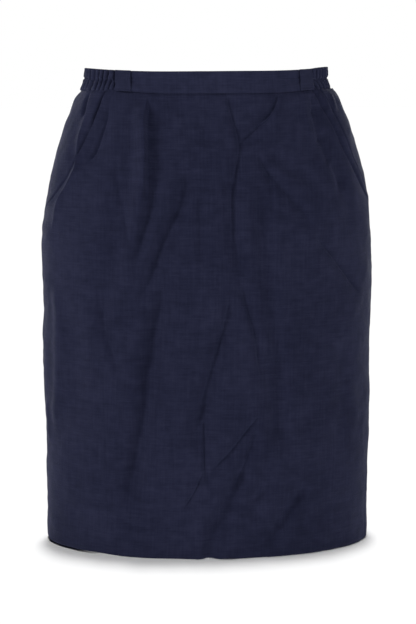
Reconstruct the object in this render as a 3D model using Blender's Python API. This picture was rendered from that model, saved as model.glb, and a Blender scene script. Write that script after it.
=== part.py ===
"""A straight, knee-length, pull-on skirt that keeps the hollow form it has when worn.

Metres, +Z up. The front faces -Y and +X is the wearer's left. The origin is on the
skirt's axis, level with the top edge of the front waistband.

Two coordinates place every point of the cloth: its drop, the distance down from the
waist edge, and its reach, the distance round the cloth from the centre front, which is
positive towards +X.
"""
import math
from collections import namedtuple

import bmesh
import bpy
import numpy as np

# ---- Driving sizes, in metres ----

LENGTH = 0.611  # waist edge to hem
CLOTH = 0.0012  # wall of one layer
HEM_CLOTH = 0.0024  # wall where the hem is turned up
HEM_DEPTH = 0.035
SEAM_GAP = 0.0003

BAND_HEIGHT = 0.028
BAND_CLOTH = 0.0024  # wall of the flat front band
CASING_CLOTH = 0.0032  # wall of the back band, with its elastic
BAND_PROUD = 0.0008  # how far the band stands off the panels' surface
BAND_RISE = 0.004  # how much higher the band stands at the sides
BAND_TILT = 0.001  # and how much of that the left side gains from the right
BAND_BACK_DIP = 0.003  # how much lower it lies at the centre back
BAND_JOIN = 0.121  # reach at which the front band meets the elastic casing

RUCHES = 28  # ridges of the gathered casing
RUCHE_HEIGHT = 0.0016
RUCHE_CALM = 0.008  # length over which the ridges grow, past the belt loops
FACES_A_WAVE = 4  # faces round each ridge or gather

LOOP_WIDTH = 0.022
LOOP_LENGTH = 0.031
LOOP_CLOTH = 0.0014
LOOP_BOW = 0.003  # how far the middle of a loop stands off the band
LOOP_HELD = 0.12  # share of its length that lies on the band at each end

HIP_TUCK = 0.022  # how far the hip piece runs in under the pocket edge
TUCK_GAP = 0.0006  # and how far under the front panel it lies there
HIP_BELOW = 0.012  # how far it runs down past the pocket's end
SEAM_SWING = 0.036  # how far the side seams swing round towards the right at the hem
SWING_START = 0.300  # drops between which they do so
SWING_END = 0.580

BACK_GATHERS = 9
BACK_GATHER_HEIGHT = 0.0028
BACK_GATHER_LENGTH = 0.15

SEAM_CALM = 0.025  # folds die out this far from a side seam
TOP_CALM = 0.016  # and this far below the band
FOLD_FADE = 0.35  # share of a fold's length over which each end fades
LIFT_FADE = 0.084  # drop by which the band's uneven edge has evened out

# ---- Faces ----

POCKET_ROWS = 10  # rows of faces beside the pockets
LOWER_ROWS = 10  # and from there to the hem
FRONT_COLUMNS = (12, 1, 12, 1, 13)  # between the front's edges and the sides of its pleats
HIP_COLUMNS = 6
BAND_ROWS = 2
BAND_COLUMNS = 26
LOOP_ROWS = 8
LOOP_COLUMNS = 4
SHARP_ANGLE = math.radians(50.0)  # edges bent more than this are drawn sharp

# ---- Shape tables ----

# Level sections of the worn form. Fullness squares a section's corners, and turn is
# how far, in degrees, the cloth has swung about the upright axis.
Section = namedtuple("Section", "drop half_width front_depth back_depth fullness turn")
SECTIONS = [
    Section(0.000, 0.1531, 0.1040, 0.1000, 0.05, 0.0),
    Section(0.015, 0.1560, 0.1075, 0.1040, 0.05, 0.0),
    Section(0.028, 0.1630, 0.1115, 0.1095, 0.05, 0.0),
    Section(0.040, 0.1708, 0.1150, 0.1145, 0.05, 0.0),
    Section(0.077, 0.1866, 0.1235, 0.1265, 0.05, 0.0),
    Section(0.130, 0.2028, 0.1315, 0.1390, 0.04, 0.0),
    Section(0.167, 0.2105, 0.1345, 0.1440, 0.04, 0.0),
    Section(0.215, 0.2145, 0.1360, 0.1460, 0.03, 0.0),
    Section(0.260, 0.2153, 0.1370, 0.1455, 0.02, 0.0),
    Section(0.360, 0.2143, 0.1370, 0.1425, 0.01, -0.5),
    Section(0.480, 0.2117, 0.1370, 0.1390, 0.00, -1.5),
    Section(0.611, 0.2104, 0.1365, 0.1370, 0.00, -3.0),
]

# Distance from the side seam to the pocket's edge, on the wearer's right and left.
PocketRow = namedtuple("PocketRow", "drop right left")
POCKET = [
    PocketRow(0.028, 0.071, 0.076),
    PocketRow(0.065, 0.077, 0.068),
    PocketRow(0.100, 0.073, 0.062),
    PocketRow(0.125, 0.064, 0.049),
    PocketRow(0.145, 0.052, 0.036),
    PocketRow(0.160, 0.036, 0.022),
    PocketRow(0.178, 0.000, 0.000),
]

# A knife pleat under the band. Its folded edge stands proud and faces the centre,
# and the cloth lies low beside it. The edge's path is (reach, drop) pairs.
Pleat = namedtuple("Pleat", "name path height sink ramp trough")
PLEATS = [
    Pleat("right", [(-0.090, 0.028), (-0.090, 0.100), (-0.095, 0.155), (-0.109, 0.250)],
          0.0035, 0.0040, 0.034, 0.030),
    Pleat("left", [(0.077, 0.028), (0.070, 0.048), (0.042, 0.074), (0.030, 0.086)],
          0.0025, 0.0030, 0.030, 0.026),
]
PLEAT_EDGE = 0.003  # width of the drop from a pleat's edge to the cloth beside it
PLEAT_HOLD = 0.5  # share of a pleat's length at which it starts to open out

# Soft folds: rise is negative for a trough. The two widths are those of the slopes
# towards -reach and +reach.
Fold = namedtuple("Fold", "path rise width_minus width_plus")
FRONT_FOLDS = [
    Fold([(0.013, 0.034), (0.026, 0.100), (0.016, 0.160), (0.021, 0.270)], -0.0030, 0.014, 0.018),
    Fold([(-0.038, 0.130), (-0.060, 0.215), (-0.094, 0.300)], -0.0032, 0.014, 0.018),
    Fold([(-0.078, 0.290), (-0.092, 0.380), (-0.101, 0.460), (-0.112, 0.540)], -0.0055, 0.020, 0.020),
    Fold([(0.016, 0.290), (-0.006, 0.360), (-0.020, 0.420), (-0.034, 0.470)], -0.0038, 0.016, 0.016),
    Fold([(0.025, 0.255), (0.040, 0.320), (0.058, 0.390)], -0.0030, 0.014, 0.014),
    Fold([(0.058, 0.150), (0.064, 0.280), (0.074, 0.390), (0.084, 0.470)], -0.0040, 0.020, 0.020),
    Fold([(0.052, 0.450), (0.026, 0.520), (-0.008, 0.611)], -0.0040, 0.018, 0.018),
    Fold([(0.100, 0.520), (0.060, 0.605)], -0.0030, 0.016, 0.016),
    Fold([(0.056, 0.115), (0.120, 0.195)], -0.0025, 0.016, 0.016),
    Fold([(-0.135, 0.150), (-0.140, 0.240), (-0.165, 0.340)], -0.0050, 0.026, 0.026),
    Fold([(-0.222, 0.260), (-0.212, 0.360), (-0.222, 0.480)], 0.0030, 0.016, 0.020),
]
BACK_FOLDS = [
    Fold([(0.420, 0.120), (0.440, 0.240), (0.400, 0.400)], -0.0040, 0.024, 0.024),
    Fold([(0.500, 0.200), (0.540, 0.330), (0.520, 0.480)], -0.0040, 0.024, 0.024),
    Fold([(0.640, 0.130), (0.620, 0.260), (0.660, 0.430)], -0.0045, 0.024, 0.024),
    Fold([(0.730, 0.260), (0.700, 0.400), (0.730, 0.560)], -0.0040, 0.024, 0.024),
    Fold([(0.460, 0.440), (0.500, 0.560)], -0.0035, 0.022, 0.022),
]

Finish = namedtuple("Finish", "colour roughness")
FINISHES = {
    "panel_cloth": Finish((0.017, 0.018, 0.041), 0.85),
    "band_cloth": Finish((0.018, 0.020, 0.043), 0.82),
    "loop_cloth": Finish((0.021, 0.022, 0.046), 0.82),
}

# ---- The worn form, as a surface of reach and drop ----


def eased(value):
    """0 to 1 with level ends, for a value or an array clamped to 0..1."""
    clamped = np.clip(value, 0.0, 1.0)
    return clamped * clamped * (3.0 - 2.0 * clamped)


def curve_through(stops, values, at):
    """A smooth curve through the stops that never overshoots its values."""
    stops = np.asarray(stops, float)
    values = np.asarray(values, float)
    steps = np.diff(values) / np.diff(stops)
    slopes = np.zeros(len(stops))
    for i in range(1, len(stops) - 1):
        if steps[i - 1] * steps[i] > 0:
            slopes[i] = 2.0 * steps[i - 1] * steps[i] / (steps[i - 1] + steps[i])
    slopes[0] = steps[0]
    slopes[-1] = steps[-1]
    at = np.clip(np.asarray(at, float), stops[0], stops[-1])
    i = np.clip(np.searchsorted(stops, at, side="right") - 1, 0, len(stops) - 2)
    span = stops[i + 1] - stops[i]
    t = (at - stops[i]) / span
    start = (1 + 2 * t) * (1 - t) ** 2 * values[i] + t * (1 - t) ** 2 * span * slopes[i]
    end = t * t * (3 - 2 * t) * values[i + 1] + t * t * (t - 1) * span * slopes[i + 1]
    return start + end


def section_value(column, drop):
    """One column of the section table at a drop."""
    stops = [section.drop for section in SECTIONS]
    return curve_through(stops, [getattr(section, column) for section in SECTIONS], drop)


ANGLES = np.linspace(0.0, math.pi, 361)


def ring_xy(drop, angle):
    """Plan position on the section at a drop, before its turn; angle 0 is the centre front."""
    width = section_value("half_width", drop)
    front = section_value("front_depth", drop)
    back = section_value("back_depth", drop)
    fullness = section_value("fullness", drop)
    depth = np.where(np.cos(angle) >= 0.0, front, back)
    x = width * np.sin(angle)
    y = -depth * np.cos(angle) * (1.0 + fullness * np.sin(angle) ** 2)
    return x, y


def half_girth_table(drop):
    """Reach of each of ANGLES on the section at a drop."""
    x, y = ring_xy(drop, ANGLES)
    pieces = np.hypot(np.diff(x), np.diff(y))
    return np.concatenate([[0.0], np.cumsum(pieces)])


def half_girth(drop):
    """Reach of the centre back."""
    return half_girth_table(drop)[-1]


def quarter_girth(drop):
    """Reach of the widest point of the side."""
    return half_girth_table(drop)[len(ANGLES) // 2]


def bare_points(reach, drop):
    """Points on the worn form without folds, for an array of reaches at one drop."""
    reach = np.asarray(reach, float)
    table = half_girth_table(drop)
    girth = 2.0 * table[-1]
    wrapped = (reach + table[-1]) % girth - table[-1]
    angle = np.sign(wrapped) * np.interp(np.abs(wrapped), table, ANGLES)
    x, y = ring_xy(drop, angle)
    turn = math.radians(section_value("turn", drop))
    x, y = x * math.cos(turn) - y * math.sin(turn), x * math.sin(turn) + y * math.cos(turn)
    fade = 1.0 - eased(drop / LIFT_FADE)
    lift = BAND_RISE * np.sin(angle) ** 4 + BAND_TILT * np.sin(angle)
    lift -= BAND_BACK_DIP * eased(-np.cos(angle))
    z = lift * fade - drop
    return np.stack([x, y, z], axis=-1)


def outward(reach, drop):
    """Unit normals of the bare form, pointing away from the skirt's inside."""
    step = 0.0005
    across = bare_points(reach + step, drop) - bare_points(reach - step, drop)
    down = bare_points(reach, drop + step) - bare_points(reach, drop - step)
    normal = np.cross(down, across)
    return normal / np.linalg.norm(normal, axis=-1, keepdims=True)


def surface(reach, drop, rise):
    """Points of the cloth at one drop, moved out by rise along the normals."""
    rise = np.broadcast_to(rise, np.shape(reach))
    return bare_points(reach, drop) + outward(reach, drop) * rise[..., None]


# ---- Seams, pocket edges and folds ----


def seam_reach(side, drop):
    """Reach of the side seam; side is -1 for the wearer's right, +1 for the left."""
    swing = SEAM_SWING * eased((drop - SWING_START) / (SWING_END - SWING_START))
    return side * quarter_girth(drop) - swing


def pocket_inset(side, drop):
    """Distance from the side seam to the edge of the front panel."""
    column = "right" if side < 0 else "left"
    inset = curve_through([row.drop for row in POCKET], [getattr(row, column) for row in POCKET], drop)
    return inset if drop < POCKET[-1].drop else 0.0


def front_edge(side, drop):
    """Reach of the front panel's side edge, at the pocket opening or the side seam."""
    return seam_reach(side, drop) - side * (pocket_inset(side, drop) + SEAM_GAP / 2)


def path_reach(path, drop):
    """Reach of a fold's line at a drop."""
    return float(curve_through([point[1] for point in path], [point[0] for point in path], drop))


def end_fade(path, drop):
    """How much of a fold is there: 1 along it and 0 past its ends."""
    top = path[0][1]
    foot = path[-1][1]
    fade = FOLD_FADE * (foot - top)
    return eased((drop - top + fade / 2) / fade) * eased((foot - drop + fade / 2) / fade)


def fold_rise(fold, reach, drop):
    """Height of one soft fold."""
    step = 0.002
    centre = path_reach(fold.path, drop)
    lean = (path_reach(fold.path, drop + step) - path_reach(fold.path, drop - step)) / (2 * step)
    off = (reach - centre) / math.hypot(1.0, lean)
    width = np.where(off < 0.0, fold.width_minus, fold.width_plus)
    return fold.rise * end_fade(fold.path, drop) * np.exp(-((off / width) ** 2))


def pleat_rise(pleat, reach, drop):
    """Height of a knife pleat: a slow ramp up to its edge, then a drop and a slow rise."""
    side = math.copysign(1.0, pleat.path[0][0])
    off = (path_reach(pleat.path, drop) - reach) * side
    ramp = pleat.height * eased(1.0 + off / pleat.ramp)
    trough = -pleat.sink * eased(1.0 - (off - PLEAT_EDGE) / pleat.trough)
    share = eased(off / PLEAT_EDGE)
    foot = pleat.path[-1][1]
    fade = 1.0 - eased((drop / foot - PLEAT_HOLD) / (1.0 - PLEAT_HOLD))
    return (ramp * (1.0 - share) + trough * share) * fade


def front_rise(reach, drop):
    """Relief of the front panel."""
    calm = eased((drop - BAND_HEIGHT + TOP_CALM / 3) / TOP_CALM)
    rise = sum(fold_rise(fold, reach, drop) for fold in FRONT_FOLDS) * calm
    rise = rise + sum(pleat_rise(pleat, reach, drop) for pleat in PLEATS) * calm
    right = eased((reach - seam_reach(-1, drop)) / SEAM_CALM)
    left = eased((seam_reach(1, drop) - reach) / SEAM_CALM)
    return rise * right * left


def back_rise(reach, drop):
    """Relief of the back panel, with the gathers that the elastic throws."""
    start = seam_reach(1, drop)
    end = 2.0 * half_girth(drop) + seam_reach(-1, drop)
    share = (reach - start) / (end - start)
    fade = 1.0 - eased((drop - BAND_HEIGHT) / BACK_GATHER_LENGTH)
    gathers = BACK_GATHER_HEIGHT * np.sin(2.0 * math.pi * BACK_GATHERS * share) * fade
    folds = sum(fold_rise(fold, reach, drop) for fold in BACK_FOLDS)
    calm = eased((drop - BAND_HEIGHT + TOP_CALM / 3) / TOP_CALM)
    ends = eased((reach - start) / SEAM_CALM) * eased((end - reach) / SEAM_CALM)
    return (gathers + folds) * calm * ends


# ---- Building ----


def clear_scene():
    """Remove every object that is in the scene."""
    for old in list(bpy.data.objects):
        bpy.data.objects.remove(old, do_unlink=True)


def finish_material(slot):
    """A Principled material of the slot's colour and roughness."""
    material = bpy.data.materials.get(slot)
    if material is None:
        material = bpy.data.materials.new(slot)
        material.use_nodes = True
        shader = material.node_tree.nodes["Principled BSDF"]
        shader.inputs["Base Color"].default_value = (*FINISHES[slot].colour, 1.0)
        shader.inputs["Roughness"].default_value = FINISHES[slot].roughness
        shader.inputs["Metallic"].default_value = 0.0
    return material


Strip = namedtuple("Strip", "drop reach rise wall")


def wall_directions(skin, bare):
    """Which way the wall faces: the folded skin's own normals inside the piece, and the
    bare form's round its border, so that neighbours stay parallel across a seam."""
    normal = np.cross(np.gradient(skin, axis=0), np.gradient(skin, axis=1))
    normal /= np.linalg.norm(normal, axis=-1, keepdims=True)
    normal[[0, -1]] = bare[[0, -1]]
    normal[:, [0, -1]] = bare[:, [0, -1]]
    return normal


def face_strip(work, upper, lower):
    """Quads between two rows of vertices."""
    for i in range(len(upper) - 1):
        work.faces.new((upper[i], lower[i], lower[i + 1], upper[i + 1]))


def add_cloth(collection, name, slot, strips):
    """A piece of cloth: a loft through strips, from waist to hem, with its wall inwards."""
    skin = np.array([surface(strip.reach, strip.drop, strip.rise) for strip in strips])
    bare = np.array([outward(strip.reach, strip.drop) for strip in strips])
    walls = np.array([strip.wall for strip in strips])[:, None, None]
    lining = skin - wall_directions(skin, bare) * walls

    work = bmesh.new()
    outer = [[work.verts.new(point) for point in row] for row in skin]
    inner = [[work.verts.new(point) for point in row] for row in lining]
    for upper, lower in zip(outer, outer[1:]):
        face_strip(work, upper, lower)
    for upper, lower in zip(inner, inner[1:]):
        face_strip(work, lower, upper)
    face_strip(work, inner[0], outer[0])
    face_strip(work, outer[-1], inner[-1])
    face_strip(work, [row[0] for row in outer], [row[0] for row in inner])
    face_strip(work, [row[-1] for row in inner], [row[-1] for row in outer])

    bmesh.ops.triangulate(work, faces=work.faces, quad_method="SHORT_EDGE")

    mesh = bpy.data.meshes.new(name)
    work.to_mesh(mesh)
    work.free()
    mesh.materials.append(finish_material(slot))
    mesh.shade_smooth()
    mesh.set_sharp_from_angle(angle=SHARP_ANGLE)
    piece = bpy.data.objects.new(name, mesh)
    collection.objects.link(piece)
    return piece


def spread(start, end, count):
    """Evenly spaced values from start up to, but not counting, end."""
    return np.linspace(start, end, count, endpoint=False)


def pocket_drops():
    """Drops of the rows beside the pockets, closer where the openings run outwards."""
    top = BAND_HEIGHT + SEAM_GAP
    quarter_turn = np.linspace(0.0, math.pi / 2, POCKET_ROWS + 1)
    return top + (POCKET[-1].drop - top) * np.sin(quarter_turn)


def panel_drops():
    """Drops of both panels' rows, with a stretch of its own for the hem."""
    hem = LENGTH - HEM_DEPTH
    lower = spread(POCKET[-1].drop + HIP_BELOW, hem, LOWER_ROWS)
    return [*pocket_drops(), *lower, hem, LENGTH]


def panel_wall(drop):
    """A panel is twice as thick where its hem is turned up."""
    return HEM_CLOTH if drop >= LENGTH - HEM_DEPTH else CLOTH


def front_columns(drop):
    """Reaches of the front panel's columns, which follow its edges and its pleats."""
    stops = [front_edge(-1, drop)]
    for pleat in PLEATS:
        edge = path_reach(pleat.path, drop)
        foot = edge - math.copysign(PLEAT_EDGE, pleat.path[0][0])
        stops += sorted((edge, foot))
    stops.append(front_edge(1, drop))
    runs = [spread(a, b, n) for a, b, n in zip(stops, stops[1:], FRONT_COLUMNS)]
    return np.concatenate(runs + [[stops[-1]]])


def add_front_panel(collection):
    """The front, cut away at its top corners for the pockets."""
    strips = []
    for drop in panel_drops():
        reach = front_columns(drop)
        strips.append(Strip(drop, reach, front_rise(reach, drop), panel_wall(drop)))
    add_cloth(collection, "front_panel", "panel_cloth", strips)


def add_back_panel(collection):
    """The back, from side seam to side seam round the back."""
    strips = []
    for drop in panel_drops():
        start = seam_reach(1, drop) + SEAM_GAP / 2
        end = 2.0 * half_girth(drop) + seam_reach(-1, drop) - SEAM_GAP / 2
        reach = np.linspace(start, end, FACES_A_WAVE * BACK_GATHERS + 1)
        strips.append(Strip(drop, reach, back_rise(reach, drop), panel_wall(drop)))
    add_cloth(collection, "back_panel", "panel_cloth", strips)


def add_hip_panel(collection, name, side):
    """The cloth behind a pocket opening: it meets the side seam and tucks in under the front."""
    tucked = -(CLOTH + TUCK_GAP)
    strips = []
    for drop in [*pocket_drops(), POCKET[-1].drop + HIP_BELOW]:
        seam = seam_reach(side, drop) - side * SEAM_GAP / 2
        edge = front_edge(side, drop)
        reach = np.sort(np.linspace(edge - side * HIP_TUCK, seam, HIP_COLUMNS + 1))
        shown = (reach - edge) * side
        rise = front_rise(reach, drop) + tucked * (1.0 - eased(shown / HIP_TUCK))
        strips.append(Strip(drop, reach, rise, CLOTH))
    add_cloth(collection, name, "panel_cloth", strips)


def band_drops():
    """Drops of the rows of both waistbands."""
    return np.linspace(0.0, BAND_HEIGHT, BAND_ROWS + 1)


def add_front_band(collection):
    """The flat waistband between the belt loops."""
    end = BAND_JOIN - SEAM_GAP / 2
    reach = np.linspace(-end, end, BAND_COLUMNS + 1)
    strips = [Strip(drop, reach, BAND_PROUD, BAND_CLOTH) for drop in band_drops()]
    add_cloth(collection, "waistband_front", "band_cloth", strips)


def add_casing(collection):
    """The back waistband: elastic draws it into upright ridges."""
    strips = []
    for drop in band_drops():
        start = BAND_JOIN + SEAM_GAP / 2
        end = 2.0 * half_girth(drop) - start
        reach = np.linspace(start, end, FACES_A_WAVE * RUCHES + 1)
        share = (reach - start) / (end - start)
        past_loop = np.minimum(reach - start, end - reach) - 0.6 * LOOP_WIDTH
        ridge = RUCHE_HEIGHT * np.sin(2.0 * math.pi * RUCHES * share) * eased(past_loop / RUCHE_CALM)
        strips.append(Strip(drop, reach, BAND_PROUD + ridge, CASING_CLOTH))
    add_cloth(collection, "waistband_back", "band_cloth", strips)


def add_belt_loop(collection, name, side):
    """A strip over the band's join, held at both ends and bowed out between them."""
    held = BAND_PROUD + SEAM_GAP + LOOP_CLOTH
    reach = side * BAND_JOIN + np.linspace(-LOOP_WIDTH / 2, LOOP_WIDTH / 2, LOOP_COLUMNS + 1)
    strips = []
    for share in np.linspace(0.0, 1.0, LOOP_ROWS + 1):
        free = eased((share - LOOP_HELD) / (1.0 - 2.0 * LOOP_HELD))
        bow = LOOP_BOW * math.sin(math.pi * float(free))
        strips.append(Strip(share * LOOP_LENGTH, reach, held + bow, LOOP_CLOTH))
    add_cloth(collection, name, "loop_cloth", strips)


def main():
    clear_scene()
    collection = bpy.data.collections.new("straight_skirt")
    bpy.context.scene.collection.children.link(collection)
    add_front_panel(collection)
    add_back_panel(collection)
    add_hip_panel(collection, "hip_panel_right", -1)
    add_hip_panel(collection, "hip_panel_left", 1)
    add_front_band(collection)
    add_casing(collection)
    add_belt_loop(collection, "belt_loop_right", -1)
    add_belt_loop(collection, "belt_loop_left", 1)


main()
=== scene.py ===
"""The finished look of a straight, knee-length, pull-on skirt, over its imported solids.

Metres, +Z up. The front faces -Y and +X is the wearer's left. Two coordinates place
every point of the cloth: its drop, the distance down from the waist edge, and its
reach, the distance round the cloth from the centre front, positive towards +X. A
point's rise is how far the cloth stands off the bare form there, and its share is its
reach as a part of the whole girth. Rows of the cloth are arrays: drop has one value a
row, and reach, rise and share have a row of values for each.
"""
import math
from collections import namedtuple

import bpy
import numpy as np
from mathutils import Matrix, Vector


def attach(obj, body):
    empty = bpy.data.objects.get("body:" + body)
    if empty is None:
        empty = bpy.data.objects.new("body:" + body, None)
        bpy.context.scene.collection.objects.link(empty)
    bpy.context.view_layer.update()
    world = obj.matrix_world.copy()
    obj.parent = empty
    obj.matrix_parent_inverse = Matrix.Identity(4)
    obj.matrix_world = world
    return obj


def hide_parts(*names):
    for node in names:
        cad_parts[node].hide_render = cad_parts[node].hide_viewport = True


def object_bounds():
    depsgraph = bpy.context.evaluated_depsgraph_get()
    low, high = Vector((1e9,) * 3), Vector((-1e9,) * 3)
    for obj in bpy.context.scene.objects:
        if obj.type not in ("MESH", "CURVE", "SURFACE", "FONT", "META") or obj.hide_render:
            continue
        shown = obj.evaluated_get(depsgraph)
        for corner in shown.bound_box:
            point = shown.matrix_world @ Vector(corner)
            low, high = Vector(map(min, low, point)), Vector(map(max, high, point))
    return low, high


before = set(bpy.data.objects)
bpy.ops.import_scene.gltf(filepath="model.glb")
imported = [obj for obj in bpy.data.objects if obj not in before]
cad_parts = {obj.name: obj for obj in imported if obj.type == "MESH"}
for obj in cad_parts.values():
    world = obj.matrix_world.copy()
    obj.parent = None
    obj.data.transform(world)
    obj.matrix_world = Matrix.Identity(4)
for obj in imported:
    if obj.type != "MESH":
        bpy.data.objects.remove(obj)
cad_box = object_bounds()

BODY = "root"

# ---- Sizes, in metres ----

LENGTH = 0.611  # waist edge to hem
CLOTH = 0.0012  # wall of one layer
HEM_CLOTH = 0.0026  # wall where the hem is turned up
HEM_DEPTH = 0.035
SEAM_UP = 0.0015  # how far a panel runs up inside the band
SEAM_GAP = 0.0003
SEAM_ROLL = 0.0005  # radius of a cloth edge turned in at a seam

BAND_HEIGHT = 0.028
BAND_CLOTH = 0.0026
BAND_PROUD = 0.0012
BAND_RISE = 0.0044  # how much higher the band stands at the sides
BAND_TILT = 0.001  # and how much of that the left side gains from the right
BAND_BACK_DIP = 0.003  # how much lower it lies at the centre back
BAND_JOIN = 0.121  # reach at which the front band meets the elastic casing
CASING_CLOTH = 0.0030

LOOP_WIDTH = 0.022
LOOP_LENGTH = 0.0284
LOOP_CLOTH = 0.0016
LOOP_BOW = 0.0013

LIP_WIDTH = 0.0120  # from a pocket's edge to the groove of its stitching
LIP_GROOVE = {-1: 0.0006, 1: 0.0026}
HIP_TUCK = 0.022  # how far the hip piece runs in under the pocket edge
HIP_BELOW = 0.012  # how far it runs down past the pocket's end
SEAM_SWING = 0.036  # how far the side seams swing round towards the right at the hem
SWING_START = 0.300
SWING_END = 0.580
LIFT_FADE = 0.084  # drop by which the band's uneven edge has evened out

HEM_LIFT = 0.0022  # how much higher the hem hangs at the wearer's right corner
SEAM_PULL = 0.0026  # rise of the band's seam beside the belt loops

FLOOR_GAP = 0.0008  # the hem's clearance over the floor

# ---- The worn form ----

Section = namedtuple("Section", "drop half_width front_depth back_depth fullness turn")
SECTIONS = [
    Section(0.000, 0.1531, 0.1040, 0.1000, 0.05, 0.0),
    Section(0.015, 0.1560, 0.1075, 0.1040, 0.05, 0.0),
    Section(0.028, 0.1630, 0.1115, 0.1095, 0.05, 0.0),
    Section(0.040, 0.1708, 0.1150, 0.1145, 0.05, 0.0),
    Section(0.077, 0.1866, 0.1235, 0.1265, 0.05, 0.0),
    Section(0.130, 0.2028, 0.1315, 0.1390, 0.04, 0.0),
    Section(0.167, 0.2105, 0.1345, 0.1440, 0.04, 0.0),
    Section(0.215, 0.2145, 0.1360, 0.1460, 0.03, 0.0),
    Section(0.260, 0.2153, 0.1370, 0.1455, 0.02, 0.0),
    Section(0.360, 0.2143, 0.1370, 0.1425, 0.01, -0.5),
    Section(0.480, 0.2117, 0.1370, 0.1390, 0.00, -1.5),
    Section(0.611, 0.2104, 0.1365, 0.1370, 0.00, -3.0),
]

# Distance from the side seam to the pocket's edge, on the wearer's right and left.
PocketRow = namedtuple("PocketRow", "drop right left")
POCKET = [
    PocketRow(0.028, 0.073, 0.076),
    PocketRow(0.065, 0.077, 0.068),
    PocketRow(0.100, 0.074, 0.062),
    PocketRow(0.125, 0.065, 0.049),
    PocketRow(0.145, 0.052, 0.036),
    PocketRow(0.160, 0.036, 0.022),
    PocketRow(0.178, 0.000, 0.000),
]
POCKET_END = POCKET[-1].drop

# How far the pocket's lip stands up, and how far the cloth behind it sinks, on each side.
LipRow = namedtuple("LipRow", "drop right left right_sunk left_sunk")
LIPS = [
    LipRow(0.028, 0.0008, 0.0008, 0.0040, 0.0010),
    LipRow(0.040, 0.0010, 0.0014, 0.0100, 0.0034),
    LipRow(0.056, 0.0012, 0.0018, 0.0140, 0.0040),
    LipRow(0.064, 0.0010, 0.0014, 0.0050, 0.0024),
    LipRow(0.074, 0.0008, 0.0010, 0.0004, 0.0016),
    LipRow(0.090, 0.0010, 0.0010, 0.0016, 0.0012),
    LipRow(0.102, 0.0014, 0.0010, 0.0034, 0.0010),
    LipRow(0.118, 0.0006, 0.0010, 0.0006, 0.0010),
    LipRow(0.150, 0.0004, 0.0008, 0.0004, 0.0008),
    LipRow(0.178, 0.0002, 0.0002, 0.0002, 0.0002),
]


def eased(value):
    """0 to 1 with level ends, clamped to 0..1."""
    clamped = np.clip(value, 0.0, 1.0)
    return clamped * clamped * (3.0 - 2.0 * clamped)


def curve_through(stops, values, at):
    """A smooth curve through the stops that never overshoots its values."""
    stops = np.asarray(stops, float)
    values = np.asarray(values, float)
    steps = np.diff(values) / np.diff(stops)
    slopes = np.zeros(len(stops))
    for i in range(1, len(stops) - 1):
        if steps[i - 1] * steps[i] > 0:
            slopes[i] = 2.0 * steps[i - 1] * steps[i] / (steps[i - 1] + steps[i])
    slopes[0] = steps[0]
    slopes[-1] = steps[-1]
    at = np.clip(np.asarray(at, float), stops[0], stops[-1])
    i = np.clip(np.searchsorted(stops, at, side="right") - 1, 0, len(stops) - 2)
    span = stops[i + 1] - stops[i]
    t = (at - stops[i]) / span
    start = (1 + 2 * t) * (1 - t) ** 2 * values[i] + t * (1 - t) ** 2 * span * slopes[i]
    end = t * t * (3 - 2 * t) * values[i + 1] + t * t * (t - 1) * span * slopes[i + 1]
    return start + end


def column(rows, name, at):
    """One named column of a table whose rows start with drop, at a drop."""
    return curve_through([row.drop for row in rows], [getattr(row, name) for row in rows], at)


ANGLES = np.linspace(0.0, math.pi, 361)


def ring_xy(drop, angle):
    """Plan position on the section at a drop, before its turn; angle 0 is the centre front."""
    width = column(SECTIONS, "half_width", drop)
    front = column(SECTIONS, "front_depth", drop)
    back = column(SECTIONS, "back_depth", drop)
    fullness = column(SECTIONS, "fullness", drop)
    depth = np.where(np.cos(angle) >= 0.0, front, back)
    x = width * np.sin(angle)
    y = -depth * np.cos(angle) * (1.0 + fullness * np.sin(angle) ** 2)
    return x, y


def half_girth_table(drop):
    """Reach of each of ANGLES on the section at a drop."""
    x, y = ring_xy(drop, ANGLES)
    return np.concatenate([[0.0], np.cumsum(np.hypot(np.diff(x), np.diff(y)))])


def girth(drop):
    """The whole way round the section at a drop."""
    return 2.0 * half_girth_table(drop)[-1]


def bare_points(reach, drop):
    """Points on the worn form without folds, for an array of reaches at one drop."""
    table = half_girth_table(drop)
    whole = 2.0 * table[-1]
    wrapped = (reach + table[-1]) % whole - table[-1]
    angle = np.sign(wrapped) * np.interp(np.abs(wrapped), table, ANGLES)
    x, y = ring_xy(drop, angle)
    turn = math.radians(column(SECTIONS, "turn", drop))
    x, y = x * math.cos(turn) - y * math.sin(turn), x * math.sin(turn) + y * math.cos(turn)
    lift = BAND_RISE * np.sin(angle) ** 4 + BAND_TILT * np.sin(angle)
    lift -= BAND_BACK_DIP * eased(-np.cos(angle))
    corner = eased((-np.sin(angle) - 0.50) / 0.28) * HEM_LIFT * eased((drop - 0.45) / 0.16)
    pull = SEAM_PULL * np.exp(-(((drop - BAND_HEIGHT) / 0.012) ** 2))
    pull = pull * np.exp(-(((np.abs(np.sin(angle)) - 0.74) / 0.18) ** 2)) * eased(np.cos(angle) / 0.3)
    z = lift * (1.0 - eased(drop / LIFT_FADE)) - drop + corner + pull
    return np.stack([x, y, z], axis=-1)


def outward(reach, drop):
    """Unit normals of the bare form, pointing away from the skirt's inside."""
    step = 0.0005
    across = bare_points(reach + step, drop) - bare_points(reach - step, drop)
    down = bare_points(reach, drop + step) - bare_points(reach, drop - step)
    normal = np.cross(down, across)
    return normal / np.linalg.norm(normal, axis=-1, keepdims=True)


def lay(drop, reach, rise):
    """Points of rows of cloth."""
    skin = [bare_points(r, d) + outward(r, d) * h[:, None] for d, r, h in zip(drop, reach, rise)]
    return np.array(skin)


def quarter_girth(drop):
    """Reach of the widest point of the side."""
    return half_girth_table(drop)[len(ANGLES) // 2]


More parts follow.
